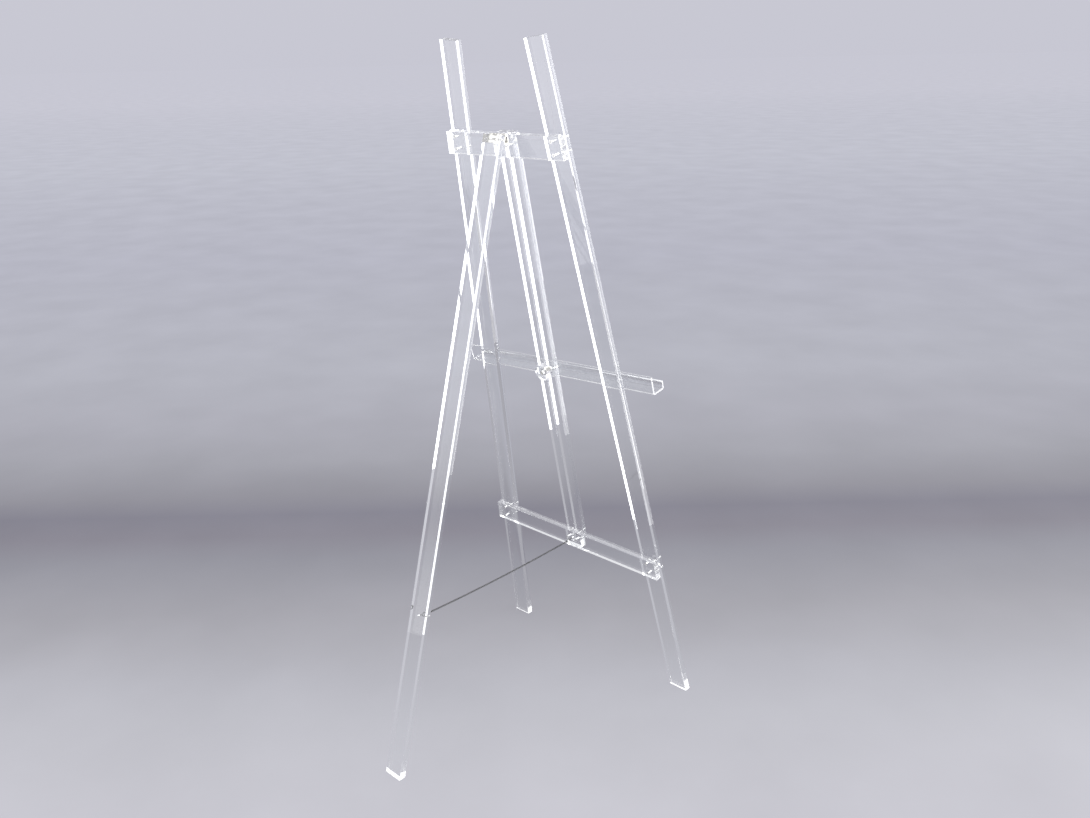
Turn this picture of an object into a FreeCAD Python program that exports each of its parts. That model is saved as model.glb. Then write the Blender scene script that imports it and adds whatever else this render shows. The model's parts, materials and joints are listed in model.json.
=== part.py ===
import FreeCAD, Part
import os
import Sketcher

# A folding three-legged floor easel made of clear acrylic bars.
#
# Row frame: +Z up, millimetres, the easel's front faces -Y, origin on the floor in the middle of
# the bounding box. The front frame (two splayed legs, slotted post, two rails) is drawn flat and
# then leaned back. In its flat frame x runs along the rails, y towards the hind leg from the back
# faces of the legs, and z up the lean. The hinge and the hind leg are drawn about the hinge pin,
# and the ledge, its bolt and its knob about the bolt.

DRIVING = [
    ("bar_width", 50.0, "width of every acrylic bar"),
    ("bar_thick", 16.0, "thickness of every acrylic bar"),
    ("film", 0.15, "air film between two faces that are screwed or clamped together"),
    ("lean", 11.5, "lean of the front frame from upright, degrees"),
    ("foot_spread", 572.0, "between the front legs' centrelines at the floor"),
    ("head_spread", 252.0, "between the front legs' centrelines at their top ends"),
    ("leg_rise", 1632.0, "front legs' height, up the lean"),
    ("top_rail_drop", 216.0, "top rail's centreline below the legs' top ends"),
    ("low_rail_rise", 383.0, "lower rail's centreline, up the lean"),
    ("slot_play", 0.25, "radial clearance of the clamp bolt in the post's slot"),
    ("slot_end", 10.0, "how far the slot runs past each rail's centreline"),
    ("screw_shank", 4.0, "rail screw, shank diameter"),
    ("screw_head", 8.0, "rail screw, countersunk head diameter"),
    ("screw_cone", 2.3, "rail screw, head depth"),
    ("screw_cover", 2.15, "acrylic left beyond a rail screw's tip"),
    ("screw_spacing", 28.0, "between the two screws of a rail joint"),
    ("screw_fit", 0.05, "radial clearance round every screw"),
    ("hind_angle", 15.5, "hind leg's slope from upright, degrees"),
    ("hind_top_drop", 2.0, "hind leg's top end below the hinge pin's axis"),
    ("pin_drop", 0.5, "hinge pin's axis below the top rail's upper edge"),
    ("leaf_width", 50.0, "hinge leaf, along the pin"),
    ("leaf_height", 19.0, "hinge leaf, from the pin's axis to its far edge"),
    ("leaf_thick", 1.8, "hinge leaf, thickness"),
    ("knuckle_radius", 3.0, "hinge knuckle, outside radius"),
    ("knuckle_gap", 0.3, "between neighbouring knuckles"),
    ("knuckle_room", 0.5, "from the knuckles to the acrylic beside them"),
    ("hinge_pin", 3.0, "hinge pin, diameter"),
    ("pin_fit", 0.05, "radial clearance of the hinge pin"),
    ("leaf_screw_drop", 11.0, "leaf screws below the pin's axis"),
    ("leaf_screw_pitch", 17.0, "between leaf screws"),
    ("leaf_screw_shank", 3.0, "leaf screw, shank diameter"),
    ("leaf_screw_head", 5.6, "leaf screw, countersunk head diameter"),
    ("leaf_screw_cone", 1.4, "leaf screw, head depth"),
    ("leaf_screw_length", 12.0, "leaf screw, overall length"),
    ("eye_radius", 5.5, "screw eye, outside radius"),
    ("eye_wire", 2.0, "screw eye, wire diameter"),
    ("eye_shank", 3.0, "screw eye, shank diameter"),
    ("eye_reach", 14.0, "screw eye's centre out of the face it is screwed into"),
    ("eye_depth", 12.0, "screw eye's thread inside the bar"),
    ("eye_stagger", 2.3, "how far each screw eye stands to its own side, to let the chain past the other"),
    ("frame_eye_rise", 3.0, "front screw eye above the lower rail's centreline"),
    ("hind_eye_height", 369.0, "hind screw eye's ring above the floor"),
    ("chain_radius", 2.6, "half the width of the chain's links"),
    ("chain_sag", 5.0, "how far the chain hangs below the straight line"),
    ("chain_share", 0.52, "front length of chain as a share of the whole chain"),
    ("chain_gap", 0.3, "from the chain to each eye and between its two lengths"),
    ("ledge_rise", 870.0, "clamp bolt's height, up the lean"),
    ("ledge_length", 594.0, "picture ledge, length"),
    ("ledge_offset", 12.0, "ledge's middle to the -X side of the clamp bolt"),
    ("ledge_depth", 38.0, "ledge, outside depth"),
    ("ledge_back", 44.0, "ledge, height of its back plate"),
    ("ledge_lip", 19.5, "ledge, height of its front lip"),
    ("ledge_thick", 4.0, "ledge, sheet thickness"),
    ("ledge_bend", 1.5, "ledge, inside radius of its bends"),
    ("ledge_bolt_rise", 22.0, "clamp bolt above the ledge's underside"),
    ("ledge_roll", 3.2, "how far the ledge hangs out of level, degrees"),
    ("bolt_shank", 6.0, "clamp bolt, shank diameter"),
    ("bolt_head", 12.0, "clamp bolt, head diameter"),
    ("bolt_head_depth", 3.5, "clamp bolt, head depth"),
    ("bolt_fit", 0.08, "radial clearance of the clamp bolt in the ledge, washer and insert"),
    ("bolt_short", 1.0, "clamp bolt's end short of the insert's"),
    ("washer_radius", 9.0, "clamp washer, radius"),
    ("washer_thick", 1.2, "clamp washer, thickness"),
    ("knob_radius", 20.0, "clamp knob, radius"),
    ("knob_thick", 16.5, "clamp knob, thickness"),
    ("knob_round", 1.5, "clamp knob, rounded rim"),
    ("insert_radius", 5.0, "threaded insert in the knob, radius"),
    ("insert_length", 13.0, "threaded insert in the knob, length"),
    ("insert_fit", 0.075, "clearance of the insert in the knob"),
]

# Worked out from the driving sizes. The names ending in _x, _y and _z are places in the row
# frame before its origin is moved to the middle of the footprint.
WORKED = [
    ("splay", "=atan((dims.foot_spread - dims.head_spread) / 2 / dims.leg_rise)"),
    ("edge", "=dims.bar_width / 2 / cos(splay)"),
    ("half", "=dims.bar_width / 2"),
    ("slot", "=dims.bolt_shank + 2 * dims.slot_play"),
    ("top_rail_rise", "=dims.leg_rise - dims.top_rail_drop"),
    ("screw_length", "=2 * dims.bar_thick + dims.film - dims.screw_cover"),
    ("hinge_gap", "=dims.knuckle_radius + dims.knuckle_room"),
    ("leaf_face", "=hinge_gap - dims.leaf_thick"),
    ("rail_back", "=dims.film + dims.bar_thick"),
    ("pin_rise", "=top_rail_rise + half - dims.pin_drop"),
    ("pin_back", "=rail_back + dims.film + hinge_gap"),
    ("pin_y", "=pin_rise * sin(dims.lean) + pin_back * cos(dims.lean)"),
    ("pin_z", "=pin_rise * cos(dims.lean) - pin_back * sin(dims.lean)"),
    ("leg_face", "=hinge_gap + dims.film"),
    ("front_y", "=-dims.bar_thick / cos(dims.lean)"),
    ("leg_back", "=(leg_face + dims.bar_thick) / cos(dims.hind_angle)"),
    ("foot_y", "=pin_y + pin_z * tan(dims.hind_angle) + leg_back"),
    ("centre_y", "=(front_y + foot_y) / 2"),
    ("frame_eye_z", "=dims.low_rail_rise + dims.frame_eye_rise"),
    ("frame_ring_back", "=rail_back + dims.eye_reach"),
    ("ring_x", "=-dims.eye_stagger"),
    ("ring_y", "=frame_eye_z * sin(dims.lean) + frame_ring_back * cos(dims.lean)"),
    ("ring_z", "=frame_eye_z * cos(dims.lean) - frame_ring_back * sin(dims.lean)"),
    ("hind_ring_back", "=leg_face - dims.eye_reach"),
    ("far_x", "=dims.eye_stagger"),
    ("far_z", "=dims.hind_eye_height"),
    ("hind_eye_drop", "=(pin_z - far_z + hind_ring_back * sin(dims.hind_angle)) / cos(dims.hind_angle)"),
    ("far_y", "=pin_y + hind_eye_drop * sin(dims.hind_angle) + hind_ring_back * cos(dims.hind_angle)"),
    ("middle_x", "=ring_x + (far_x - ring_x) * dims.chain_share"),
    ("middle_y", "=ring_y + (far_y - ring_y) * dims.chain_share"),
    ("middle_z", "=ring_z + (far_z - ring_z) * dims.chain_share - dims.chain_sag"),
    ("front_chain", "=sqrt((middle_x - ring_x)^2 + (middle_y - ring_y)^2 + (middle_z - ring_z)^2)"),
    ("rear_chain", "=sqrt((far_x - middle_x)^2 + (far_y - middle_y)^2 + (far_z - middle_z)^2)"),
    ("screw_hole", "=dims.screw_shank / 2 + dims.screw_fit"),
    ("screw_sink", "=dims.screw_head / 2 + dims.screw_fit"),
    ("leaf_hole", "=dims.leaf_screw_shank / 2 + dims.screw_fit"),
    ("leaf_sink", "=dims.leaf_screw_head / 2 + dims.screw_fit"),
    ("eye_hole", "=dims.eye_shank / 2 + dims.screw_fit"),
    ("bolt_hole", "=dims.bolt_shank / 2 + dims.bolt_fit"),
    ("knuckle_pitch", "=dims.leaf_width / 5"),
    ("knob_face", "=dims.film * 2 + dims.washer_thick"),
]

LEFT, RIGHT = -1, 1
ACROSS = 400.0  # long enough to cut through any bar or block
BLOCK = 60.0  # depth of the block that trims a foot to the floor
BACKWARDS = ((-1, 0, 0), 90)  # turns an upright axis to +Y
FORWARDS = ((1, 0, 0), 90)  # turns it to -Y
SIDEWAYS = ((0, 1, 0), 90)  # turns it to +X

doc = FreeCAD.newDocument("easel")


# ---------------------------------------------------------------- sheets and placing


def make_sheet(name, cells):
    sheet = doc.addObject("Spreadsheet::Sheet", name)
    for row, (alias, value, *note) in enumerate(cells, 1):
        sheet.set(f"A{row}", note[0] if note else alias.replace("_", " "))
        sheet.set(f"B{row}", str(value))
        sheet.setAlias(f"B{row}", alias)
    doc.recompute()
    return sheet


dims = make_sheet("dims", DRIVING)
worked = make_sheet("worked", WORKED)


def number(expression):
    """The value of an expression on the sheets, as a plain number."""
    value = dims.evalExpression(expression)
    return float(getattr(value, "Value", value))


def bind(thing, **sizes):
    """Binds properties of an object to expressions on the sheets."""
    for name, expression in sizes.items():
        thing.setExpression(name.replace("__", "."), str(expression))


def turned(axis, degrees):
    return FreeCAD.Placement(FreeCAD.Vector(), FreeCAD.Rotation(FreeCAD.Vector(*axis), degrees))


def at(thing, x="0", y="0", z="0", turn=None):
    """Places an object in its part's own frame, turned first if turn gives (axis, degrees)."""
    if turn:
        thing.Placement = turned(*turn)
    bind(thing, Placement__Base__x=x, Placement__Base__y=y, Placement__Base__z=z)
    return thing


# ---------------------------------------------------------------- solids


def box(length, width, height, x, y, z, turn=None):
    made = doc.addObject("Part::Box", "box")
    bind(made, Length=length, Width=width, Height=height)
    return at(made, x, y, z, turn)


def rod(radius, height, x, y, z, turn=None):
    made = doc.addObject("Part::Cylinder", "rod")
    bind(made, Radius=radius, Height=height)
    return at(made, x, y, z, turn)


def cone(base, tip, height, x, y, z, turn):
    made = doc.addObject("Part::Cone", "cone")
    bind(made, Radius1=base, Radius2=tip, Height=height)
    return at(made, x, y, z, turn)


def joined(parts):
    if len(parts) == 1:
        return parts[0]
    made = doc.addObject("Part::MultiFuse", "joined")
    made.Shapes = parts
    return made


def cut(base, tools):
    made = doc.addObject("Part::Cut", "cut")
    made.Base = base
    made.Tool = joined(tools)
    return made


def group(parts):
    """Separate solids in one object, whose own placement is free."""
    made = doc.addObject("Part::Compound", "group")
    made.Links = parts
    return made


def rounded(base, radius, wanted):
    """Rounds the edges of base for which wanted(edge) is true."""
    doc.recompute()
    edges = enumerate(base.Shape.Edges, 1)
    made = doc.addObject("Part::Fillet", "rounded")
    made.Base = base
    made.Edges = [(index, radius, radius) for index, edge in edges if wanted(edge)]
    return made


def through_hole(radius):
    """A rod along y, through anything at the origin."""
    return rod(radius, ACROSS, "0", -ACROSS / 2, "0", BACKWARDS)


def sketched_bar(corners, y, reverse=False):
    """A bar of bar_thick, padded from a closed outline of (x, z) corners, each bound to the sheets.
    It lies in front of the plane y, or behind it if reverse is set."""
    body = doc.addObject("PartDesign::Body", "bar")
    sketch = body.newObject("Sketcher::SketchObject", "outline")
    plane = next(p for p in body.Origin.OriginFeatures if p.Role == "XZ_Plane")
    sketch.AttachmentSupport = [(plane, "")]
    sketch.MapMode = "FlatFace"
    points = [FreeCAD.Vector(number(x), number(z), 0) for x, z in corners]
    count = len(points)
    for i in range(count):
        sketch.addGeometry(Part.LineSegment(points[i], points[(i + 1) % count]), False)
    for i in range(count):
        sketch.addConstraint(Sketcher.Constraint("Coincident", i, 2, (i + 1) % count, 1))
    for i, (x, z) in enumerate(corners):
        for kind, value, expression in (("DistanceX", points[i].x, x), ("DistanceY", points[i].y, z)):
            index = sketch.addConstraint(Sketcher.Constraint(kind, -1, 1, i, 1, value))
            sketch.setExpression(f"Constraints[{index}]", expression)
    pad = body.newObject("PartDesign::Pad", "thickness")
    pad.Profile = sketch
    pad.Reversed = reverse
    bind(pad, Length="dims.bar_thick")
    return at(body, y=y)


# ---------------------------------------------------------------- rails, legs and their screws

RAILS = {"top": "worked.top_rail_rise", "lower": "dims.low_rail_rise"}


def leg_x(side, rise, out="0"):
    """Where a front leg's centreline is at a height up the lean, moved outwards by out."""
    return f"{side} * (dims.foot_spread / 2 - tan(worked.splay) * ({rise}) + {out})"


def rail_joints(rise):
    """(side, x, z) of a rail's six screws: two down each leg and two either side of the slot."""
    for side in (LEFT, RIGHT):
        for step in (1, -1):
            height = f"{rise} + {step} * dims.screw_spacing / 2"
            yield side, leg_x(side, height), height
    for step in (-1, 1):
        yield 0, f"{step} * dims.screw_spacing / 2", rise


JOINTS = [(rail, *joint) for rail, rise in RAILS.items() for joint in rail_joints(rise)]


def countersunk(shank, head, depth, length, x, y, z, turn):
    """A countersunk screw, or the room for one: a rod whose start widens to a cone."""
    return [rod(shank, length, x, y, z, turn), cone(head, shank, depth, x, y, z, turn)]


def rail_screw(x, z):
    """A screw whose head is flush in the rail's back face."""
    head, depth, length = "dims.screw_head / 2", "dims.screw_cone", "worked.screw_length"
    return joined(
        countersunk("dims.screw_shank / 2", head, depth, length, x, "worked.rail_back", z, FORWARDS)
    )


def rail_screw_room(x, z):
    """The hole and countersink for a rail screw, cut alike through rail and leg."""
    depth = "dims.screw_cone + dims.screw_fit"
    length = "worked.screw_length + dims.screw_fit"
    return countersunk(
        "worked.screw_hole", "worked.screw_sink", depth, length, x, "worked.rail_back", z, FORWARDS
    )


def rail_screws(name, side):
    places = [(x, z) for rail, at_side, x, z in JOINTS if (rail, at_side) == (name, side)]
    return group([rail_screw(x, z) for x, z in places])


def room_for_screws(at_side):
    """The holes in a front leg or in the post, on both rails."""
    tools = []
    for rail, side, x, z in JOINTS:
        if side == at_side:
            tools += rail_screw_room(x, z)
    return tools


def frame_floor():
    """A block below the floor, in the frame's flat frame."""
    return box(
        "4 * dims.foot_spread",
        ACROSS,
        BLOCK,
        "-2 * dims.foot_spread",
        f"-{ACROSS / 2} * cos(dims.lean) + {BLOCK} * sin(dims.lean)",
        f"-{ACROSS / 2} * sin(dims.lean) - {BLOCK} * cos(dims.lean)",
        ((1, 0, 0), number("dims.lean")),
    )


def front_leg(side):
    below = "-dims.bar_thick"
    head = f"{side} * dims.head_spread / 2"
    across, up = "worked.half * cos(worked.splay)", "worked.half * sin(worked.splay)"
    corners = [
        (leg_x(side, below, "worked.edge"), below),
        (f"{head} + {side} * {across}", f"dims.leg_rise + {up}"),
        (f"{head} - {side} * {across}", f"dims.leg_rise - {up}"),
        (leg_x(side, below, "-worked.edge"), below),
    ]
    return cut(sketched_bar(corners, "0"), [frame_floor(), *room_for_screws(side)])


def slotted_post():
    """The post between the rails' outer edges, with a round-ended slot for the clamp bolt."""
    low, high = RAILS["lower"], RAILS["top"]
    bottom, top = f"{low} - worked.half", f"{high} + worked.half"
    left, right = "-worked.half", "worked.half"
    start, end = f"{low} - dims.slot_end", f"{high} + dims.slot_end"
    slot = box("worked.slot", ACROSS, f"{end} - ({start})", "-worked.slot / 2", -ACROSS / 2, start)
    ends = [rod("worked.slot / 2", ACROSS, "0", -ACROSS / 2, z, BACKWARDS) for z in (start, end)]
    bar = sketched_bar([(left, bottom), (left, top), (right, top), (right, bottom)], "0")
    return cut(bar, [slot, *ends, *room_for_screws(0)])


def rail(name):
    """A rail with its ends cut flush with the legs' outer edges."""
    rise = RAILS[name]
    bottom, top = f"{rise} - worked.half", f"{rise} + worked.half"
    corners = [
        (leg_x(LEFT, bottom, "worked.edge"), bottom),
        (leg_x(LEFT, top, "worked.edge"), top),
        (leg_x(RIGHT, top, "worked.edge"), top),
        (leg_x(RIGHT, bottom, "worked.edge"), bottom),
    ]
    tools = []
    for at_rail, side, x, z in JOINTS:
        if at_rail == name:
            tools += rail_screw_room(x, z)
    if name == "top":
        level = "worked.pin_rise - dims.leaf_screw_drop"
        tools += [leaf_pilot(x, "worked.rail_back", level, FORWARDS) for x in LEAF_SCREWS]
    else:
        tools.append(eye_pilot("worked.ring_x", "worked.rail_back", "worked.frame_eye_z", FORWARDS))
    return cut(sketched_bar(corners, "dims.film", reverse=True), tools)


# ---------------------------------------------------------------- hinge, about the pin's axis

LEAF_SCREWS = [f"{step} * dims.leaf_screw_pitch" for step in (-1, 0, 1)]
RAIL_KNUCKLES, LEG_KNUCKLES = (0, 2, 4), (1, 3)  # places along the pin, from -x


def into_bar(side):
    """The way screws go into the rail, side -1, or into the hind leg, side 1."""
    return FORWARDS if side < 0 else BACKWARDS


def leaf_pilot(x, face, z, turn):
    """The pilot hole for a leaf screw, from a bar's face into the bar."""
    return rod("worked.leaf_hole", "dims.leaf_screw_length - dims.leaf_thick", x, face, z, turn)


def hinge_leaf(side, knuckles):
    """The leaf on the rail, side -1, or on the hind leg, side 1, with its knuckles."""
    left, low = "-dims.leaf_width / 2", "-dims.leaf_height"
    back = "-worked.hinge_gap" if side < 0 else "worked.leaf_face"
    plate = box("dims.leaf_width", "dims.leaf_thick", "dims.leaf_height", left, back, low)
    starts = [f"{left} + {place} * worked.knuckle_pitch" for place in range(5)]
    length = "worked.knuckle_pitch - dims.knuckle_gap"
    room = "dims.knuckle_radius + dims.knuckle_gap"
    notch_width = "worked.knuckle_pitch + dims.knuckle_gap"
    rolls, notches = [], []
    for place, start in enumerate(starts):
        if place in knuckles:
            begin = f"{start} + dims.knuckle_gap / 2"
            rolls.append(rod("dims.knuckle_radius", length, begin, "0", "0", SIDEWAYS))
        else:
            begin = f"{start} - dims.knuckle_gap / 2"
            notches.append(box(notch_width, ACROSS, f"2 * ({room})", begin, -ACROSS / 2, f"-({room})"))
    bore = rod("dims.hinge_pin / 2 + dims.pin_fit", ACROSS, -ACROSS / 2, "0", "0", SIDEWAYS)
    holes = []
    for x in LEAF_SCREWS:
        holes += countersunk(
            "worked.leaf_hole",
            "worked.leaf_sink",
            "dims.leaf_screw_cone + dims.screw_fit",
            ACROSS,
            x,
            f"{side} * worked.leaf_face",
            "-dims.leaf_screw_drop",
            into_bar(side),
        )
    return cut(joined([cut(plate, notches), *rolls]), [bore, *holes])


def leaf_screws(side):
    length = "dims.leaf_screw_length - dims.film - dims.screw_fit"
    screws = []
    for x in LEAF_SCREWS:
        solids = countersunk(
            "dims.leaf_screw_shank / 2",
            "dims.leaf_screw_head / 2",
            "dims.leaf_screw_cone",
            length,
            x,
            f"{side} * worked.leaf_face",
            "-dims.leaf_screw_drop",
            into_bar(side),
        )
        screws.append(joined(solids))
    return group(screws)


def hinge_pin():
    left = "-dims.leaf_width / 2"
    return group([rod("dims.hinge_pin / 2", "dims.leaf_width", left, "0", "0", SIDEWAYS)])


# ---------------------------------------------------------------- hind leg, screw eyes and chain


def eye_pilot(x, face, z, turn):
    return rod("worked.eye_hole", "dims.eye_depth + dims.screw_fit", x, face, z, turn)


def screw_eye(side, x, ring, z):
    """A screw eye in the rail, side -1, or in the hind leg, side 1. Its ring's axis lies along x."""
    outer = rod("dims.eye_radius", "dims.eye_wire", f"{x} - dims.eye_wire / 2", ring, z, SIDEWAYS)
    inner = rod("dims.eye_radius - dims.eye_wire", ACROSS, -ACROSS / 2, ring, z, SIDEWAYS)
    neck = "(dims.eye_radius - dims.eye_wire / 2)"
    length = f"dims.eye_reach + dims.eye_depth - {neck}"
    shank = rod("dims.eye_shank / 2", length, x, f"{ring} + {side} * {neck}", z, into_bar(side))
    return joined([cut(outer, [inner]), shank])


def hind_leg():
    """The hind leg about the pin's axis: its front face is behind its leaf, and its foot is level."""
    length = f"worked.pin_z / cos(dims.hind_angle) + {BLOCK / 2}"
    bar = box(
        "dims.bar_width",
        "dims.bar_thick",
        f"{length} - dims.hind_top_drop",
        "-worked.half",
        "worked.leg_face",
        f"-({length})",
    )
    y = f"(worked.foot_y - {ACROSS / 2} - worked.pin_y)"
    z = f"(-{BLOCK} - worked.pin_z)"
    floor = box(
        ACROSS,
        ACROSS,
        BLOCK,
        -ACROSS / 2,
        f"{y} * cos(dims.hind_angle) + {z} * sin(dims.hind_angle)",
        f"-{y} * sin(dims.hind_angle) + {z} * cos(dims.hind_angle)",
        ((-1, 0, 0), number("dims.hind_angle")),
    )
    tools = [floor, eye_pilot("worked.far_x", "worked.leg_face", "-worked.hind_eye_drop", BACKWARDS)]
    tools += [leaf_pilot(x, "worked.leg_face", "-dims.leaf_screw_drop", BACKWARDS) for x in LEAF_SCREWS]
    return cut(bar, tools)


def chain_length(length):
    """A length of chain as a rod of its width, standing up from its eye until it is placed."""
    start = "dims.eye_radius + dims.chain_gap"
    return group([rod("dims.chain_radius", f"{length} - ({start}) - dims.chain_gap / 2", "0", "0", start)])


# ---------------------------------------------------------------- ledge and clamp, about the bolt


def ledge():
    """Back plate, floor and lip bent from one sheet, y = 0 at the plate's back face."""
    length, left = "dims.ledge_length", "-dims.ledge_length / 2 - dims.ledge_offset"
    low, front = "-dims.ledge_bolt_rise", "-dims.ledge_depth"
    inside = "dims.ledge_depth - 2 * dims.ledge_thick"
    block = box(length, "dims.ledge_depth", "dims.ledge_back", left, front, low)
    channel = box(
        length, inside, "dims.ledge_back", left, f"{front} + dims.ledge_thick", f"{low} + dims.ledge_thick"
    )
    above_lip = box(length, "2 * dims.ledge_thick", "dims.ledge_back", left, front, f"{low} + dims.ledge_lip")
    drilled = cut(block, [channel, above_lip, through_hole("worked.bolt_hole")])
    thick, depth, base = number("dims.ledge_thick"), number("dims.ledge_depth"), number(low)
    bend = number("dims.ledge_bend")

    def along(places):
        """Picks the long edges that pass through these (y, z) places."""

        def wanted(edge):
            middle = edge.BoundBox.Center
            near = any(abs(middle.y - y) < 0.01 and abs(middle.z - z) < 0.01 for y, z in places)
            return near and edge.BoundBox.XLength > edge.BoundBox.YLength + edge.BoundBox.ZLength

        return wanted

    outer = rounded(drilled, bend + thick, along([(0, base), (-depth, base)]))
    return rounded(outer, bend, along([(-thick, base + thick), (thick - depth, base + thick)]))


def clamp_bolt():
    """The bolt, y = 0 at the post's back face."""
    head_face = "-(dims.bar_thick + 2 * dims.film + dims.ledge_thick)"
    end = "worked.knob_face + dims.insert_length - dims.bolt_short"
    shank = rod("dims.bolt_shank / 2", f"{end} - ({head_face})", "0", head_face, "0", BACKWARDS)
    return joined([shank, rod("dims.bolt_head / 2", "dims.bolt_head_depth", "0", head_face, "0", FORWARDS)])


def ring_about_bolt(radius, thick, start):
    outer = rod(radius, thick, "0", start, "0", BACKWARDS)
    return cut(outer, [through_hole("worked.bolt_hole")])


def clamp_knob():
    """A round-rimmed disc with a blind pocket for its threaded insert."""
    disc = rod("dims.knob_radius", "dims.knob_thick", "0", "worked.knob_face", "0", BACKWARDS)
    rim = rounded(disc, number("dims.knob_round"), lambda edge: edge.Closed)
    radius, depth = "dims.insert_radius + dims.insert_fit", "dims.insert_length + 2 * dims.insert_fit"
    return cut(rim, [rod(radius, depth, "0", "worked.knob_face", "0", BACKWARDS)])


# ---------------------------------------------------------------- nodes and their placements

home = FreeCAD.Placement(FreeCAD.Vector(0, -number("worked.centre_y"), 0), FreeCAD.Rotation())
leaned = home.multiply(turned((-1, 0, 0), number("dims.lean")))


def shifted(y=0.0, z=0.0):
    return FreeCAD.Placement(FreeCAD.Vector(0, y, z), FreeCAD.Rotation())


def along_chain(start, end):
    """The placement that lays an upright rod from one point of the chain towards another."""
    points = [[number(f"worked.{point}_{axis}") for axis in "xyz"] for point in (start, end)]
    first, last = (FreeCAD.Vector(*point) for point in points)
    turn = FreeCAD.Rotation(FreeCAD.Vector(0, 0, 1), last - first)
    return home.multiply(FreeCAD.Placement(first, turn))


at_pin = leaned.multiply(shifted(number("worked.pin_back"), number("worked.pin_rise")))
at_hind_pin = home.multiply(shifted(number("worked.pin_y"), number("worked.pin_z"))).multiply(
    turned((1, 0, 0), number("dims.hind_angle"))
)
at_bolt = leaned.multiply(shifted(z=number("dims.ledge_rise")))
at_ledge = at_bolt.multiply(shifted(-number("dims.bar_thick + dims.film"))).multiply(
    turned((0, 1, 0), number("dims.ledge_roll"))
)

NODES = {
    "left_leg": (front_leg(LEFT), leaned),
    "right_leg": (front_leg(RIGHT), leaned),
    "slotted_post": (slotted_post(), leaned),
    "top_rail": (rail("top"), leaned),
    "lower_rail": (rail("lower"), leaned),
    "hinge_rail_leaf": (hinge_leaf(-1, RAIL_KNUCKLES), at_pin),
    "hinge_rail_screws": (leaf_screws(-1), at_pin),
    "hinge_pin": (hinge_pin(), at_pin),
    "rail_screw_eye": (
        screw_eye(-1, "worked.ring_x", "worked.frame_ring_back", "worked.frame_eye_z"),
        leaned,
    ),
    "hind_leg": (hind_leg(), at_hind_pin),
    "hinge_leg_leaf": (hinge_leaf(1, LEG_KNUCKLES), at_hind_pin),
    "hinge_leg_screws": (leaf_screws(1), at_hind_pin),
    "leg_screw_eye": (
        screw_eye(1, "worked.far_x", "worked.hind_ring_back", "-worked.hind_eye_drop"),
        at_hind_pin,
    ),
    "chain_front_length": (chain_length("worked.front_chain"), along_chain("ring", "middle")),
    "chain_rear_length": (chain_length("worked.rear_chain"), along_chain("far", "middle")),
    "picture_ledge": (ledge(), at_ledge),
    "clamp_bolt": (clamp_bolt(), at_bolt),
    "clamp_washer": (ring_about_bolt("dims.washer_radius", "dims.washer_thick", "dims.film"), at_bolt),
    "clamp_knob": (clamp_knob(), at_bolt),
    "knob_insert": (
        ring_about_bolt("dims.insert_radius", "dims.insert_length", "worked.knob_face"),
        at_bolt,
    ),
}
for rail_name in RAILS:
    for side, where in ((LEFT, "left"), (RIGHT, "right"), (0, "post")):
        NODES[f"{rail_name}_{where}_screws"] = (rail_screws(rail_name, side), leaned)

doc.recompute()
for label, (thing, place) in NODES.items():
    thing.Label = label
    thing.Placement = place.multiply(thing.Placement)
doc.recompute()

for thing in doc.Objects:
    if {"Invalid", "Error"} & set(thing.State):
        raise SystemExit(f"{thing.Label} failed: {thing.State}")
for label, (thing, place) in NODES.items():
    if thing.Shape.isNull() or not thing.Shape.isValid() or not thing.Shape.Solids:
        raise SystemExit(f"{label} has no valid solid")

os.makedirs("parts", exist_ok=True)
for label, (thing, place) in NODES.items():
    thing.Shape.exportStep(f"parts/{label}.step")
print(f"{len(NODES)} nodes written")
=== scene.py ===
"""A clear acrylic folding floor easel: looks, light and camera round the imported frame."""

import json
import math

import bmesh
import bpy
from mathutils import Matrix, Vector

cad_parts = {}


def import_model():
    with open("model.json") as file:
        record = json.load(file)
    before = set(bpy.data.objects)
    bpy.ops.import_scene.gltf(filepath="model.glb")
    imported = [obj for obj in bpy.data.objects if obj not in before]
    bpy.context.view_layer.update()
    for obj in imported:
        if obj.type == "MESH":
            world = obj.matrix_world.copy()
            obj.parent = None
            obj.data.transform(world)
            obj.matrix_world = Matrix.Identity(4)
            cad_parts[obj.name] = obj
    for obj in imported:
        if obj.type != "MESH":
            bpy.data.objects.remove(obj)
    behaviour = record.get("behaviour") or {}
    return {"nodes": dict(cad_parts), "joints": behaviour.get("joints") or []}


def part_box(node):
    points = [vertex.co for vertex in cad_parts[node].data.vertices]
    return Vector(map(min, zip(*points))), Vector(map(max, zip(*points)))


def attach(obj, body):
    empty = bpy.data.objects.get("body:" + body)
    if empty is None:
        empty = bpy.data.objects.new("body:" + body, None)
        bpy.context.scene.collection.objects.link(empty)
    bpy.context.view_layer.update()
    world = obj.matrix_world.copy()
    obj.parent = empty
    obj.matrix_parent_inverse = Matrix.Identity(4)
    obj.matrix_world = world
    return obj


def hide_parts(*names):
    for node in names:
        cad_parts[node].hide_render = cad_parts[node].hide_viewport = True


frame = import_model()
nodes = frame["nodes"]
joints = {joint["name"]: joint for joint in frame["joints"]}
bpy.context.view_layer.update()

MM = 0.001
X, Y, Z = Vector((1, 0, 0)), Vector((0, 1, 0)), Vector((0, 0, 1))

# Directions and places read from the joints: the bolt's axis runs square to the front frame,
# towards the hind leg, and the chain's two lengths turn about the rings of the screw eyes.
FRAME_NORMAL = Vector(joints["ledge_swivel"]["axis"]).normalized()
FRONT_RING = Vector(joints["chain_front_swing"]["pos_m"])
REAR_RING = Vector(joints["chain_rear_swing"]["pos_m"])

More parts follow.
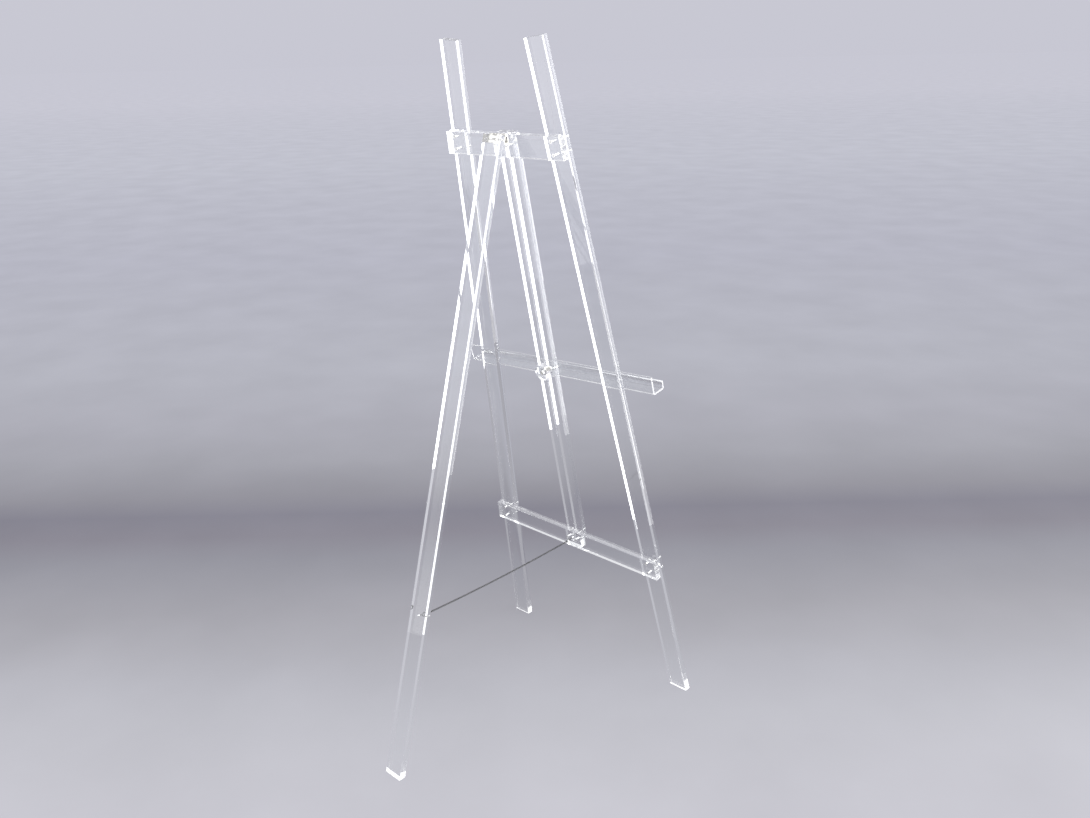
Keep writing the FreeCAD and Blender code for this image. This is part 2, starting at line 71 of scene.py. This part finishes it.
ROUND = 24  # sides of a small turned part
LINK_WIRE, LINK_LENGTH, LINK_WIDTH = 1.4 * MM, 8.0 * MM, 5.2 * MM
CHAIN_SAG = 5.0 * MM
EYE_WIRE, EYE_RADIUS = 2.0 * MM, 5.5 * MM  # the radius is that of the ring's outside
EYE_THREAD = 12 * MM  # length of the threaded end of a screw eye
BAR_ARRIS, SHEET_ARRIS = 0.5 * MM, 0.4 * MM  # width of the rounding on polished arrises
LONG_EDGE = 8 * MM  # shorter edges, such as those round holes, stay sharp
END_FACE = 1e-4  # m2: a cut end's face is larger, the facets of its rounding are smaller
WELD = 2e-6  # m: corners nearer than this are one
ACRYLIC_IOR = 1.49
SHARP_BEND = 20.0  # degrees: a bar's flat faces stay flat, and its rounded arrises are smooth


# ---------------------------------------------------------------- materials


def new_material(name):
    """A node material: returns it with its node tree and its Principled shader."""
    material = bpy.data.materials.new(name)
    material.use_nodes = True
    tree = material.node_tree
    return material, tree, tree.nodes["Principled BSDF"]


def noise(tree, scale, detail=4.0, stretch=(1, 1, 1)):
    """A noise texture in the row frame, stretched by scaling its coordinates."""
    place = tree.nodes.new("ShaderNodeTexCoord")
    mapping = tree.nodes.new("ShaderNodeMapping")
    mapping.inputs["Scale"].default_value = stretch
    texture = tree.nodes.new("ShaderNodeTexNoise")
    texture.inputs["Scale"].default_value = scale
    texture.inputs["Detail"].default_value = detail
    tree.links.new(place.outputs["Object"], mapping.inputs["Vector"])
    tree.links.new(mapping.outputs["Vector"], texture.inputs["Vector"])
    return texture.outputs["Fac"]


def ramp(tree, value, stops):
    """A colour ramp over a value, from (place, colour or grey) stops."""
    node = tree.nodes.new("ShaderNodeValToRGB")
    colours = node.color_ramp.elements
    while len(colours) < len(stops):
        colours.new(1.0)
    for element, (place, colour) in zip(colours, stops):
        element.position = place
        element.color = (*colour, 1) if isinstance(colour, tuple) else (colour, colour, colour, 1)
    tree.links.new(value, node.inputs["Fac"])
    return node.outputs["Color"]


def bump(tree, shader, height, strength, distance):
    """Bumps a shader's normal by a height texture. The distance is in metres."""
    node = tree.nodes.new("ShaderNodeBump")
    node.inputs["Strength"].default_value = strength
    node.inputs["Distance"].default_value = distance
    tree.links.new(height, node.inputs["Height"])
    tree.links.new(node.outputs["Normal"], shader.inputs["Normal"])


def acrylic(name, tint, haze, waves):
    """Clear acrylic: haze is its greatest roughness, waves the strength of its waviness."""
    material, tree, shader = new_material(name)
    shader.inputs["Base Color"].default_value = (*tint, 1)
    shader.inputs["Transmission Weight"].default_value = 1.0
    shader.inputs["IOR"].default_value = ACRYLIC_IOR
    marks = noise(tree, 60.0, 6.0, (1.0, 1.0, 0.2))
    tree.links.new(ramp(tree, marks, [(0.5, 0.0), (0.8, haze)]), shader.inputs["Roughness"])
    bump(tree, shader, noise(tree, 9.0, 2.0, (1.0, 1.0, 0.3)), waves, 0.0002)
    return material


def sawn_acrylic_painted_glow():
    """The feet's cut faces: milky and finely lined, with a painted glow, an emission that stands in
    for the light the bars pipe to them.
    """
    material, tree, shader = new_material("sawn_acrylic_painted_glow")
    shader.inputs["Transmission Weight"].default_value = 0.05
    shader.inputs["IOR"].default_value = ACRYLIC_IOR
    lines = noise(tree, 900.0, 3.0, (0.05, 1.0, 1.0))
    tree.links.new(ramp(tree, lines, [(0.3, 0.90), (0.7, 0.98)]), shader.inputs["Base Color"])
    tree.links.new(ramp(tree, lines, [(0.3, 0.40), (0.7, 0.60)]), shader.inputs["Roughness"])
    bump(tree, shader, lines, 0.25, 0.0001)
    # painted glow: the cut faces give off light of their own, in place of light piped down the bars
    shader.inputs["Emission Color"].default_value = (1.0, 1.0, 1.0, 1)
    shader.inputs["Emission Strength"].default_value = 0.7
    return material


def edge_acrylic():
    """The ledge's cut ends: half polished, so they catch the light."""
    material, tree, shader = new_material("edge_acrylic")
    shader.inputs["Transmission Weight"].default_value = 0.45
    shader.inputs["IOR"].default_value = ACRYLIC_IOR
    lines = noise(tree, 700.0, 3.0, (1.0, 0.1, 1.0))
    tree.links.new(ramp(tree, lines, [(0.3, 0.92), (0.7, 0.99)]), shader.inputs["Base Color"])
    tree.links.new(ramp(tree, lines, [(0.3, 0.20), (0.7, 0.35)]), shader.inputs["Roughness"])
    bump(tree, shader, lines, 0.15, 0.0001)
    return material


def metal(name, colour, dull, bright, grain, scratches=0.05):
    """Plated or bare metal: roughness runs from bright to dull along its grain."""
    material, tree, shader = new_material(name)
    shader.inputs["Metallic"].default_value = 1.0
    darker = tuple(0.8 * c for c in colour)
    patches = ramp(tree, noise(tree, 220.0, 5.0), [(0.35, darker), (0.65, colour)])
    tree.links.new(patches, shader.inputs["Base Color"])
    brushed = noise(tree, 1500.0, 4.0, grain)
    tree.links.new(ramp(tree, brushed, [(0.3, bright), (0.7, dull)]), shader.inputs["Roughness"])
    bump(tree, shader, brushed, scratches, 0.00005)
    return material


CLEAR_TINT = (0.985, 0.992, 0.992)
CLEAR = acrylic("clear_acrylic", CLEAR_TINT, haze=0.012, waves=0.05)
CLEAR_SHEET = acrylic("clear_sheet", CLEAR_TINT, haze=0.02, waves=0.12)
SAWN_PAINTED_GLOW = sawn_acrylic_painted_glow()
EDGE = edge_acrylic()
STEEL = metal("bright_steel", (0.90, 0.90, 0.88), dull=0.16, bright=0.05, grain=(1, 1, 0.1))
HINGE = metal("hinge_metal", (0.92, 0.90, 0.83), dull=0.16, bright=0.05, grain=(0.08, 1, 1))
CHAIN = metal("chain_steel", (0.17, 0.17, 0.17), dull=0.40, bright=0.22, grain=(1, 1, 1))
BRASS = metal("insert_brass", (0.90, 0.88, 0.80), dull=0.20, bright=0.08, grain=(0.1, 1, 1))


# ---------------------------------------------------------------- mesh helpers


def add_piece(name, mesh, body, replaced, materials, sharp=35.0):
    """Puts a finished bmesh in the scene as a piece of a body, in place of its CAD nodes."""
    data = bpy.data.meshes.new(name)
    bmesh.ops.recalc_face_normals(mesh, faces=mesh.faces)
    mesh.to_mesh(data)
    mesh.free()
    for material in materials:
        data.materials.append(material)
    data.polygons.foreach_set("use_smooth", [True] * len(data.polygons))
    data.set_sharp_from_angle(angle=math.radians(sharp))
    piece = bpy.data.objects.new(name, data)
    bpy.context.scene.collection.objects.link(piece)
    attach(piece, body)
    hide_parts(*replaced)
    return piece


def welded(node):
    """A CAD node's mesh with its doubled corners joined and each flat face made whole."""
    mesh = bmesh.new()
    mesh.from_mesh(nodes[node].data)
    bmesh.ops.remove_doubles(mesh, verts=mesh.verts, dist=WELD)
    flat = math.radians(0.3)
    bmesh.ops.dissolve_limit(mesh, angle_limit=flat, verts=mesh.verts, edges=mesh.edges)
    return mesh


def soften(mesh, width, shortest, least_turn=30.0):
    """Rounds the outer arrises longer than shortest, where faces turn by least_turn or more."""
    arrises = [
        edge
        for edge in mesh.edges
        if len(edge.link_faces) == 2
        and edge.calc_length() > shortest
        and edge.calc_face_angle_signed() > math.radians(least_turn)
    ]
    bmesh.ops.bevel(
        mesh,
        geom=arrises,
        offset=width,
        segments=2,
        profile=0.5,
        affect="EDGES",
        clamp_overlap=True,
    )


def corners(node):
    """A CAD node's points."""
    return [vertex.co.copy() for vertex in nodes[node].data.vertices]


def hind_leg_normal():
    """The direction out of the hind leg's front face, found from its largest flat face."""
    mesh = welded("hind_leg")
    largest = max(mesh.faces, key=lambda face: face.calc_area())
    normal = largest.normal.copy()
    mesh.free()
    return normal if normal.y < 0 else -normal


def loose_parts(node):
    """The separate solids of a CAD node, each as a list of points."""
    mesh = bmesh.new()
    mesh.from_mesh(nodes[node].data)
    bmesh.ops.remove_doubles(mesh, verts=mesh.verts, dist=WELD)
    left, parts = set(mesh.verts), []
    while left:
        reach, part = [left.pop()], []
        while reach:
            vert = reach.pop()
            part.append(vert.co.copy())
            for edge in vert.link_edges:
                other = edge.other_vert(vert)
                if other in left:
                    left.remove(other)
                    reach.append(other)
        parts.append(part)
    mesh.free()
    return parts


def skin(mesh, rings, looped=False):
    """Joins rings of points, each with as many, into a tube: looped, or closed at both ends."""
    verts = [[mesh.verts.new(point) for point in ring] for ring in rings]
    pairs = list(zip(verts, verts[1:]))
    if looped:
        pairs.append((verts[-1], verts[0]))
    for ring, following in pairs:
        count = len(ring)
        for i in range(count):
            j = (i + 1) % count
            mesh.faces.new((ring[i], ring[j], following[j], following[i]))
    if not looped:
        mesh.faces.new(verts[0])
        mesh.faces.new(verts[-1])


def circle(radius, height, count=ROUND):
    """Points round the z axis. The radius is a number, or a function of the turn from 0 to 1."""
    at = radius if callable(radius) else (lambda turn: radius)
    turns = [i / count for i in range(count)]
    return [
        Vector((at(t) * math.cos(math.tau * t), at(t) * math.sin(math.tau * t), height))
        for t in turns
    ]


def thread(start, end, crest, depth, pitch, steps=5):
    """Rings of a threaded shank down from start to end: the last turn and a half taper to a tip."""
    rings = []
    count = math.ceil((start - end) / pitch * steps)
    taper, tip, flank = 1.5 * pitch, 0.25, 2.6
    for i in range(count + 1):
        height = start + (end - start) * i / count
        shrink = min(1.0, tip + (1.0 - tip) * (height - end) / taper)

        def radius(turn, height=height, shrink=shrink):
            phase = (height / pitch + turn) % 1.0
            ridge = max(0.0, 1.0 - flank * abs(phase - 0.5))
            return (crest - depth * (1.0 - ridge)) * shrink

        rings.append(circle(radius, height))
    return rings


def facing(origin, axis):
    """The matrix that puts the z axis along axis, from origin."""
    turn = axis.to_track_quat("Z", "Y").to_matrix().to_4x4()
    return Matrix.Translation(origin) @ turn


def merge(target, source, matrix):
    """Adds a copy of a mesh to a bmesh, moved by a matrix."""
    copy = source.copy()
    copy.transform(matrix)
    target.from_mesh(copy)
    bpy.data.meshes.remove(copy)


def finished(mesh):
    """A bmesh as mesh data, with its normals outwards."""
    data = bpy.data.meshes.new("pattern")
    bmesh.ops.recalc_face_normals(mesh, faces=mesh.faces)
    mesh.to_mesh(data)
    mesh.free()
    return data


def carved(data, cutter):
    """Mesh data less a cutter's, by a boolean modifier on objects that are then removed."""
    made = [bpy.data.objects.new(name, d) for name, d in (("blank", data), ("cutter", cutter))]
    for thing in made:
        bpy.context.scene.collection.objects.link(thing)
    boolean = made[0].modifiers.new("recess", "BOOLEAN")
    boolean.operation, boolean.solver, boolean.object = "DIFFERENCE", "EXACT", made[1]
    bpy.context.view_layer.update()
    depsgraph = bpy.context.evaluated_depsgraph_get()
    result = bpy.data.meshes.new_from_object(made[0].evaluated_get(depsgraph))
    for thing in made:
        bpy.data.objects.remove(thing)
    return result


# ---------------------------------------------------------------- acrylic bars, ledge and knob


def bar(node, body, sawn_foot=False):
    """An acrylic bar from its CAD node: polished arrises and, on a leg, a milky sawn foot with a
    painted glow.
    """
    mesh = welded(node)
    soften(mesh, BAR_ARRIS, LONG_EDGE)
    if sawn_foot:
        for face in mesh.faces:
            if face.normal.dot(-Z) > 0.9 and face.calc_area() > END_FACE:
                face.material_index = 1
    add_piece(f"{node}_bar", mesh, body, [node], [CLEAR, SAWN_PAINTED_GLOW], SHARP_BEND)


def bent_ledge():
    """The ledge's bent sheet, with brighter cut ends."""
    mesh = welded("picture_ledge")
    soften(mesh, SHEET_ARRIS, LONG_EDGE, least_turn=60.0)
    for face in mesh.faces:
        if abs(face.normal.x) > 0.9 and face.calc_area() > END_FACE:
            face.material_index = 1
    materials = [CLEAR_SHEET, EDGE]
    replaced = ["picture_ledge"]
    add_piece("picture_ledge_sheet", mesh, "ledge", replaced, materials, SHARP_BEND)


def knob_disc():
    """The clear knob, as the CAD has it."""
    mesh = welded("clamp_knob")
    add_piece("clamp_knob_disc", mesh, "knob", ["clamp_knob"], [CLEAR])


# ---------------------------------------------------------------- screws and screw eyes


def screw(length, head, shank, head_depth, pitch):
    """A countersunk screw with a cross recess: its head's face at the origin, its tip down -Z."""
    rim = 0.06 * head
    neck_radius, neck = shank * 0.92, head_depth + 0.6 * pitch
    rings = [circle(head - rim, 0.0), circle(head, -rim)]
    rings += [circle(neck_radius, -head_depth), circle(neck_radius, -neck)]
    rings += thread(-neck - 0.1 * pitch, -length, shank, 0.26 * shank, pitch)
    mesh = bmesh.new()
    skin(mesh, rings)
    data = finished(mesh)
    half_width, half_length, floor_share = 0.11 * head, 0.62 * head, 0.45
    for turn in (0, math.pi / 2):  # the cross's two arms, each narrower at its floor
        arm_rings = []
        for height, share in ((rim, 1.0), (-0.8 * head_depth, floor_share)):
            ring = [
                Vector((across * half_width, along * half_length * share, height))
                for across, along in ((1, 1), (-1, 1), (-1, -1), (1, -1))
            ]
            for point in ring:
                point.rotate(Matrix.Rotation(turn, 3, "Z"))
            arm_rings.append(ring)
        arm = bmesh.new()
        skin(arm, arm_rings)
        data = carved(data, finished(arm))
    return data


def measured(points, axis):
    """A screw solid's head centre, length, head radius, shank radius and head depth."""
    heights = [point.dot(axis) for point in points]
    top, bottom = max(heights), min(heights)
    flat = [point - axis * height for point, height in zip(points, heights)]
    centre = sum(flat, Vector()) / len(flat)
    radii = [(point - centre).length for point in flat]
    head = max(radii)
    near = 0.1 * MM
    shank = min(r for r, height in zip(radii, heights) if height < bottom + near)
    shoulder = max(height for r, height in zip(radii, heights) if r < 1.1 * shank)
    return centre + axis * top, top - bottom, head, shank, top - shoulder


def screws(node, body, axis, material, pitch):
    """Threaded, cross-recessed screws in place of a CAD node's plain ones."""
    mesh = bmesh.new()
    pattern = None
    for number, part in enumerate(sorted(loose_parts(node), key=lambda points: points[0].x)):
        head, *sizes = measured(part, axis)
        pattern = pattern or screw(*sizes, pitch)
        driven = Matrix.Rotation(0.7 * number + 0.3, 4, "Z")  # no two recesses at one angle
        merge(mesh, pattern, facing(head, axis) @ driven)
    add_piece(f"{node}_threaded", mesh, body, [node], [material], sharp=40.0)


def screw_eye(node, body, ring_centre, inwards):
    """A ring of wire with a threaded shank that runs inwards from it."""
    mesh = bmesh.new()
    radius, wire = EYE_RADIUS - EYE_WIRE / 2, EYE_WIRE / 2
    section = circle(wire, 0.0, 12)
    sections = []
    for i in range(ROUND):
        turn = Matrix.Rotation(math.tau * i / ROUND, 4, "X")
        sections.append([turn @ Vector((p.x, p.y + radius, 0)) for p in section])
    skin(mesh, sections, looped=True)
    mesh.transform(Matrix.Translation(ring_centre))
    reach = max((corner - ring_centre).dot(inwards) for corner in corners(node))
    shank = bmesh.new()
    neck, neck_radius = reach - EYE_THREAD, 1.3 * MM
    rings = [circle(neck_radius, -(radius + 0.2 * MM)), circle(neck_radius, -neck)]
    crest, depth, pitch = 1.5 * MM, 0.4 * MM, 1.25 * MM
    rings += thread(-neck - 0.1 * MM, -reach, crest, depth, pitch)
    skin(shank, rings)
    data = finished(shank)
    merge(mesh, data, facing(ring_centre, -inwards))
    add_piece(f"{node}_wire", mesh, body, [node], [CHAIN], sharp=40.0)


# ---------------------------------------------------------------- chain


def link():
    """An oval link of round wire in the xz plane, its length along z."""
    bend = (LINK_WIDTH - LINK_WIRE) / 2
    straight = (LINK_LENGTH - LINK_WIDTH) / 2
    mesh = bmesh.new()
    rings, steps, sides = [], 16, 8
    for i in range(steps):
        turn = math.tau * i / steps
        out = Vector((math.cos(turn), 0, math.sin(turn)))
        centre = out * bend + Z * straight * (1 if turn < math.pi else -1)
        section = circle(LINK_WIRE / 2, 0.0, sides)
        rings.append([centre + out * p.x + Y * p.y for p in section])
    skin(mesh, rings, looped=True)
    return finished(mesh)


def chain():
    """Links hooked through one another between the rings, parted where the two lengths meet."""
    span = REAR_RING - FRONT_RING
    hook = EYE_RADIUS - EYE_WIRE + LINK_LENGTH / 2 - LINK_WIRE  # ring's middle to end link's
    pitch = LINK_LENGTH - 2 * LINK_WIRE
    count = 2 * math.ceil((span.length - 2 * hook) / pitch / 2) + 1
    front_share = (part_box("chain_front_length")[1][1] - FRONT_RING.y) / span.y
    pattern = link()
    lengths = {"front": bmesh.new(), "rear": bmesh.new()}
    for i in range(count):
        along = (hook + (span.length - 2 * hook) * i / (count - 1)) / span.length
        centre = FRONT_RING + span * along - Z * CHAIN_SAG * 4 * along * (1 - along)
        slope = (span - Z * CHAIN_SAG * 4 * (1 - 2 * along)).normalized()
        upright = slope.cross(X).normalized()
        side = upright if i % 2 else slope.cross(upright)
        turn = Matrix((side, slope.cross(side), slope)).transposed().to_4x4()
        half = "front" if along < front_share else "rear"
        merge(lengths[half], pattern, Matrix.Translation(centre) @ turn)
    for half, mesh in lengths.items():
        body, node = f"chain_{half}", f"chain_{half}_length"
        add_piece(f"{node}_links", mesh, body, [node], [CHAIN], sharp=60.0)


# ---------------------------------------------------------------- other metal


def dressed(node, body, material, rounding):
    """A metal CAD node with its arrises rounded."""
    mesh = welded(node)
    soften(mesh, rounding, 0.2 * MM, least_turn=50.0)
    add_piece(f"{node}_dressed", mesh, body, [node], [material])


# ---------------------------------------------------------------- stage, light and camera

HEADING, PITCH, ROLL = math.radians(43.83), math.radians(19.56), math.radians(-1.25)
EYE = Vector((-1.5709, 1.4673, 1.5619))
LENS, SENSOR = 32.76, 36.0
PANEL_HEIGHT = 2.4
HORIZON = (0.554, 0.554, 0.63)  # the floor's far colour
SKY = [(0.0, (0.574, 0.574, 0.65)), (0.2, (0.60, 0.60, 0.66)), (1.0, (0.9, 0.9, 0.92))]

# The floor's painted light and shade, which it glows with by emission: lighter towards the camera,
# darkest in a band of painted shade about 1.15 m beyond the easel. They go by the distance in
# metres across the floor, along the camera's heading.
FLOOR_PAINTED_LIGHT = [
    (-4.0, HORIZON),
    (-1.0, (0.55, 0.55, 0.61)),
    (-0.35, (0.545, 0.54, 0.595)),
    (-0.1, (0.515, 0.515, 0.565)),
    (0.1, (0.46, 0.46, 0.51)),
    (0.4, (0.37, 0.365, 0.405)),
    (0.8, (0.28, 0.28, 0.325)),
    (1.0, (0.23, 0.22, 0.265)),
    (1.15, (0.212, 0.207, 0.255)),
    (1.3, (0.265, 0.26, 0.30)),
    (1.65, (0.345, 0.345, 0.39)),
    (2.1, (0.395, 0.395, 0.45)),
    (2.9, (0.435, 0.44, 0.50)),
    (6.0, (0.45, 0.454, 0.529)),
    (14.0, (0.51, 0.517, 0.59)),
    (40.0, HORIZON),
]


def floor_painted_light():
    """A dull floor that glows with painted light and shade by its emission, faintly stained."""
    material, tree, shader = new_material("floor_painted_light")
    place = tree.nodes.new("ShaderNodeTexCoord")
    across = tree.nodes.new("ShaderNodeVectorMath")
    across.operation = "DOT_PRODUCT"
    across.inputs[1].default_value = (math.sin(HEADING), -math.cos(HEADING), 0)
    tree.links.new(place.outputs["Object"], across.inputs[0])
    near, far = FLOOR_PAINTED_LIGHT[0][0], FLOOR_PAINTED_LIGHT[-1][0]
    reach = tree.nodes.new("ShaderNodeMapRange")
    reach.inputs["From Min"].default_value, reach.inputs["From Max"].default_value = near, far
    tree.links.new(across.outputs["Value"], reach.inputs["Value"])
    stops = [((metres - near) / (far - near), colour) for metres, colour in FLOOR_PAINTED_LIGHT]
    painted_light_and_shade = ramp(tree, reach.outputs["Result"], stops)
    stains = ramp(tree, noise(tree, 2.2, 8.0), [(0.3, 0.96), (0.7, 1.04)])
    mix = tree.nodes.new("ShaderNodeMixRGB")
    mix.blend_type = "MULTIPLY"
    mix.inputs["Fac"].default_value = 1.0
    tree.links.new(painted_light_and_shade, mix.inputs["Color1"])
    tree.links.new(stains, mix.inputs["Color2"])
    # painted light and shade: the floor emits these tones, so its brightness and its shade band do
    # not come from the lamps
    tree.links.new(mix.outputs["Color"], shader.inputs["Emission Color"])
    shader.inputs["Emission Strength"].default_value = 1.0
    shader.inputs["Base Color"].default_value = (0.03, 0.03, 0.03, 1)
    shader.inputs["Roughness"].default_value = 0.7
    shader.inputs["Specular IOR Level"].default_value = 0.0
    return material


def floor():
    """A pale floor that glows with painted light and shade. A soft painted shade crosses it beyond
    the easel, as before a bent backdrop.
    """
    mesh = bmesh.new()
    bmesh.ops.create_circle(mesh, cap_ends=True, radius=300.0, segments=96)
    data = bpy.data.meshes.new("floor")
    mesh.to_mesh(data)
    mesh.free()
    data.materials.append(floor_painted_light())
    plane = bpy.data.objects.new("floor", data)
    plane.location.z = -0.2 * MM  # clear of the feet's faces
    bpy.context.scene.collection.objects.link(plane)


def panel(name, centre, inwards, width, height, radiance):
    """A soft rectangular light of a given radiance, out of the camera's sight."""
    light = bpy.data.lights.new(name, "AREA")
    light.shape = "RECTANGLE"
    light.size, light.size_y = width, height
    light.energy = radiance * math.pi * width * height
    lamp = bpy.data.objects.new(name, light)
    lamp.location = centre
    lamp.rotation_euler = Vector(inwards).to_track_quat("-Z", "Y").to_euler()
    lamp.visible_camera = False
    bpy.context.scene.collection.objects.link(lamp)


def standing_panel(name, start, end, height, radiance):
    """A light panel that stands on the floor from start to end, and faces right of that line."""
    start, end = Vector((*start, 0)), Vector((*end, 0))
    along = end - start
    inwards = along.cross(Z).normalized()
    panel(name, (start + end) / 2 + Z * height / 2, inwards, along.length, height, radiance)


def world():
    """An even studio sky, as pale as the far floor at the horizon and lighter overhead."""
    made = bpy.data.worlds.new("studio")
    made.use_nodes = True
    tree = made.node_tree
    place = tree.nodes.new("ShaderNodeTexCoord")
    split = tree.nodes.new("ShaderNodeSeparateXYZ")
    tree.links.new(place.outputs["Generated"], split.inputs["Vector"])
    tree.links.new(ramp(tree, split.outputs["Z"], SKY), tree.nodes["Background"].inputs["Color"])
    bpy.context.scene.world = made


def camera():
    """Stands behind the easel to the hind leg's left, 1.56 m up, looking down at it."""
    ahead = math.cos(PITCH)
    look = Vector((math.sin(HEADING) * ahead, -math.cos(HEADING) * ahead, -math.sin(PITCH)))
    level = Vector((-math.cos(HEADING), -math.sin(HEADING), 0))
    top = level.cross(look)
    right = math.cos(ROLL) * level + math.sin(ROLL) * top
    up = math.cos(ROLL) * top - math.sin(ROLL) * level
    data = bpy.data.cameras.new("camera")
    data.sensor_width = SENSOR
    data.lens = LENS
    made = bpy.data.objects.new("camera", data)
    turn = Matrix((right, up, -look)).transposed().to_4x4()
    made.matrix_world = Matrix.Translation(EYE) @ turn
    bpy.context.scene.collection.objects.link(made)
    bpy.context.scene.camera = made


# ---------------------------------------------------------------- the easel and its studio

for name in ("left_leg", "right_leg"):
    bar(name, "front_frame", sawn_foot=True)
for name in ("slotted_post", "top_rail", "lower_rail"):
    bar(name, "front_frame")
bar("hind_leg", "hind_leg", sawn_foot=True)
bent_ledge()
knob_disc()

HIND_NORMAL = hind_leg_normal()
RAIL_PITCH, HINGE_PITCH = 1.6 * MM, 1.2 * MM
for rail in ("top", "lower"):
    for place in ("left", "right", "post"):
        node = f"{rail}_{place}_screws"
        screws(node, "front_frame", FRAME_NORMAL, STEEL, RAIL_PITCH)
screws("hinge_rail_screws", "front_frame", FRAME_NORMAL, HINGE, HINGE_PITCH)
screws("hinge_leg_screws", "hind_leg", HIND_NORMAL, HINGE, HINGE_PITCH)
screw_eye("rail_screw_eye", "front_frame", FRONT_RING, -FRAME_NORMAL)
screw_eye("leg_screw_eye", "hind_leg", REAR_RING, -HIND_NORMAL)
chain()
dressed("hinge_rail_leaf", "front_frame", HINGE, rounding=0.25 * MM)
dressed("hinge_pin", "front_frame", HINGE, rounding=0.25 * MM)
dressed("hinge_leg_leaf", "hind_leg", HINGE, rounding=0.25 * MM)
dressed("clamp_bolt", "ledge_clamp", STEEL, rounding=0.4 * MM)
dressed("clamp_washer", "ledge_clamp", STEEL, rounding=0.2 * MM)
dressed("knob_insert", "knob", BRASS, rounding=0.3 * MM)

floor()
world()
standing_panel("panel_front_right", (-1.109, -2.9), (-1.307, -0.42), PANEL_HEIGHT, radiance=3.0)
standing_panel("panel_back_left", (0.60, 2.15), (1.68, 1.07), PANEL_HEIGHT, radiance=0.9)
panel("panel_above", (0.0, -0.3, 3.4), -Z, width=3.0, height=3.0, radiance=1.3)
camera()

scene = bpy.context.scene
scene.view_settings.view_transform = "Standard"
scene.cycles.use_denoising = True
for limit in ("max_bounces", "transmission_bounces", "glossy_bounces"):
    setattr(scene.cycles, limit, 64)  # light is reflected many times inside the bars
